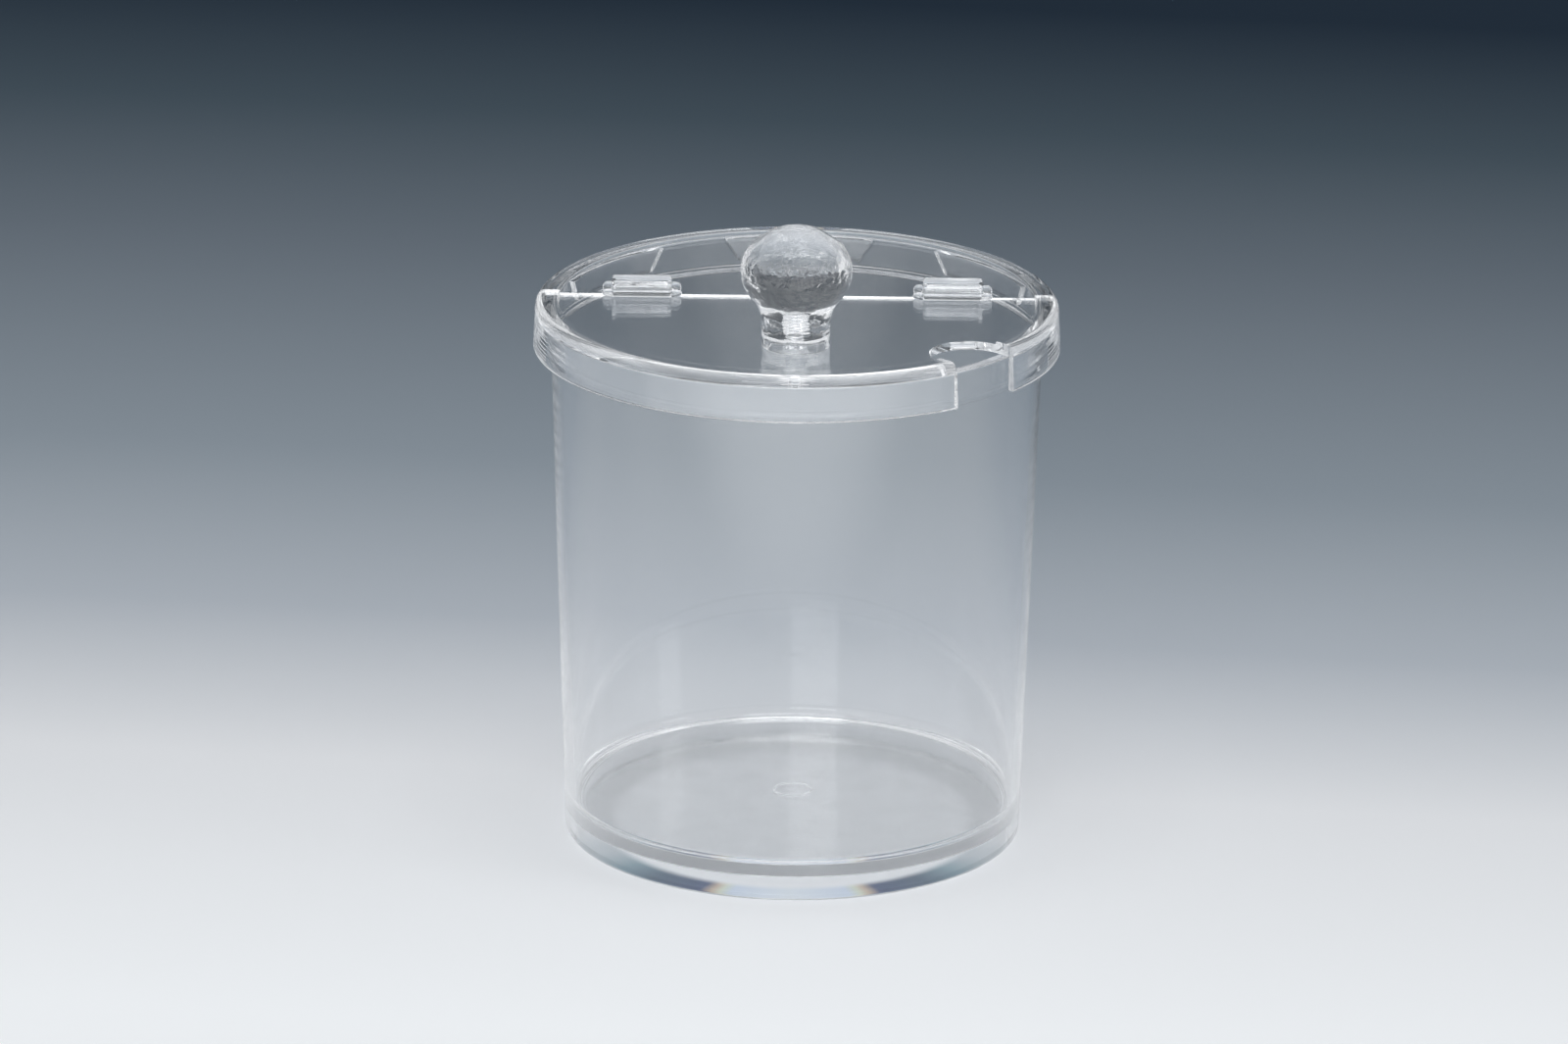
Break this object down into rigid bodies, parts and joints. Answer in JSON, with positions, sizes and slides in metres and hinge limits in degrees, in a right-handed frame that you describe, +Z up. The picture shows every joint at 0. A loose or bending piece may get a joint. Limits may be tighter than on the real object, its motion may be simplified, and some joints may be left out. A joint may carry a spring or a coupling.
{
  "type": "storage jar",
  "caption": "Clear round storage jar with a lid whose front flap hinges up by a ball knob and has a notch for a spoon handle.",
  "frame": {"origin": "centre of the foot ring, on the surface that the jar stands on", "axes": "+Z up through the jar, +X to the right, the flap and its knob at the front towards -Y"},
  "size_m": [0.132, 0.132, 0.1687],
  "materials": {
    "clear_plastic": "clear, polished",
    "knob_plastic": "clear, polished, solid"
  },
  "bodies": {
    "jar": {"jar": "clear_plastic", "rear_lid": "clear_plastic"},
    "flap": {"front_flap": "clear_plastic", "knob": "knob_plastic"}
  },
  "joints": [
    {"name": "flap_hinge", "type": "hinge", "parent": "jar", "child": "flap", "pos_m": [0, 0.0055, 0.14], "axis": [-1, 0, 0], "range_deg": [0, 140]}
  ]
}
